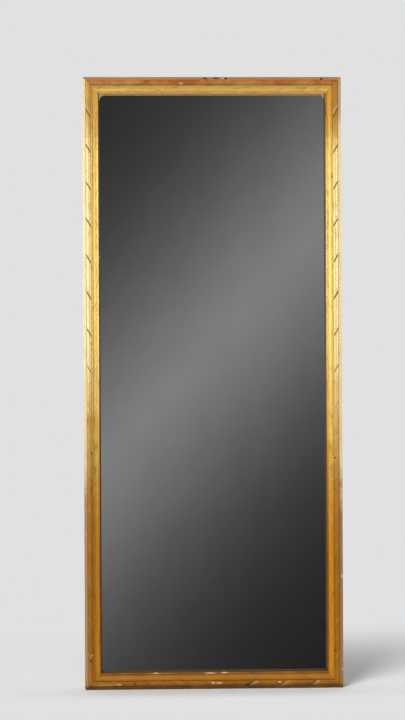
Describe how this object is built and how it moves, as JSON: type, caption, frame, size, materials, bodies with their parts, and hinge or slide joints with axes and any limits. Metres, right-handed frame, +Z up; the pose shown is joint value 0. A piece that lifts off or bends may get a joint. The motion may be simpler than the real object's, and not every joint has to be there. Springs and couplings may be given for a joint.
{
  "type": "pier mirror",
  "caption": "Tall narrow wall mirror: a silvered plate in a mitred, gilt, ribbon-carved moulding, with a framed and panelled back and swinging hanging rings.",
  "frame": {"origin": "middle of the face that the frame stands on, at floor level, half way through the frame's depth", "axes": "+X across the width, to the right seen from the front; the plate faces -Y; +Z up"},
  "size_m": [0.718, 0.0583, 1.7],
  "materials": {
    "gilding": "water gilding over red bole and gesso on carved wood, worn on the high edges",
    "top_gilding": "the same gilding, rubbed through to the bole along the carved bead",
    "key_wood": "thin slips of hardwood, toned over at the edges",
    "gesso": "pale gessoed wood",
    "mirror_plate": "flat silvered plate, polished",
    "backing_paint": "dull protective paint over the silver",
    "block_wood": "sawn softwood, aged",
    "back_wood": "planed pine, browned with age",
    "panel_wood": "planed pine panel, browned with age",
    "peg_wood": "cleft oak pegs",
    "screw_steel": "dull slotted steel screws, darkened",
    "hanger_iron": "blackened sheet iron and wire"
  },
  "bodies": {
    "mirror": {"top_rail": "top_gilding", "bottom_rail": "gilding", "left_stile": "gilding", "right_stile": "gilding", "mitre_key_top_left": "key_wood", "mitre_key_top_right": "key_wood", "mitre_key_bottom_left": "key_wood", "mitre_key_bottom_right": "key_wood", "corner_piece_left": "gesso", "corner_piece_right": "gesso", "mirror_glass": "mirror_plate", "mirror_silvering": "backing_paint", "setting_blocks": "block_wood", "edge_slips": "block_wood", "glazing_blocks": "block_wood", "back_stile_left": "back_wood", "back_stile_right": "back_wood", "back_rail_bottom": "back_wood", "back_rail_lower": "back_wood", "back_rail_upper": "back_wood", "back_rail_top": "back_wood", "back_panel_bottom": "panel_wood", "back_panel_middle": "panel_wood", "back_panel_top": "panel_wood", "tenon_pegs": "peg_wood", "back_screws": "screw_steel", "hanger_strap_left": "hanger_iron", "hanger_strap_right": "hanger_iron", "hanger_screws": "screw_steel"},
    "left_ring": {"hanger_ring_left": "hanger_iron"},
    "right_ring": {"hanger_ring_right": "hanger_iron"}
  },
  "joints": [
    {"name": "left_ring_swing", "type": "hinge", "parent": "mirror", "child": "left_ring", "pos_m": [-0.3475, 0.02858, 1.45], "axis": [1, 0, 0], "range_deg": [0, 168]},
    {"name": "right_ring_swing", "type": "hinge", "parent": "mirror", "child": "right_ring", "pos_m": [0.3475, 0.02858, 1.45], "axis": [1, 0, 0], "range_deg": [0, 168]}
  ]
}
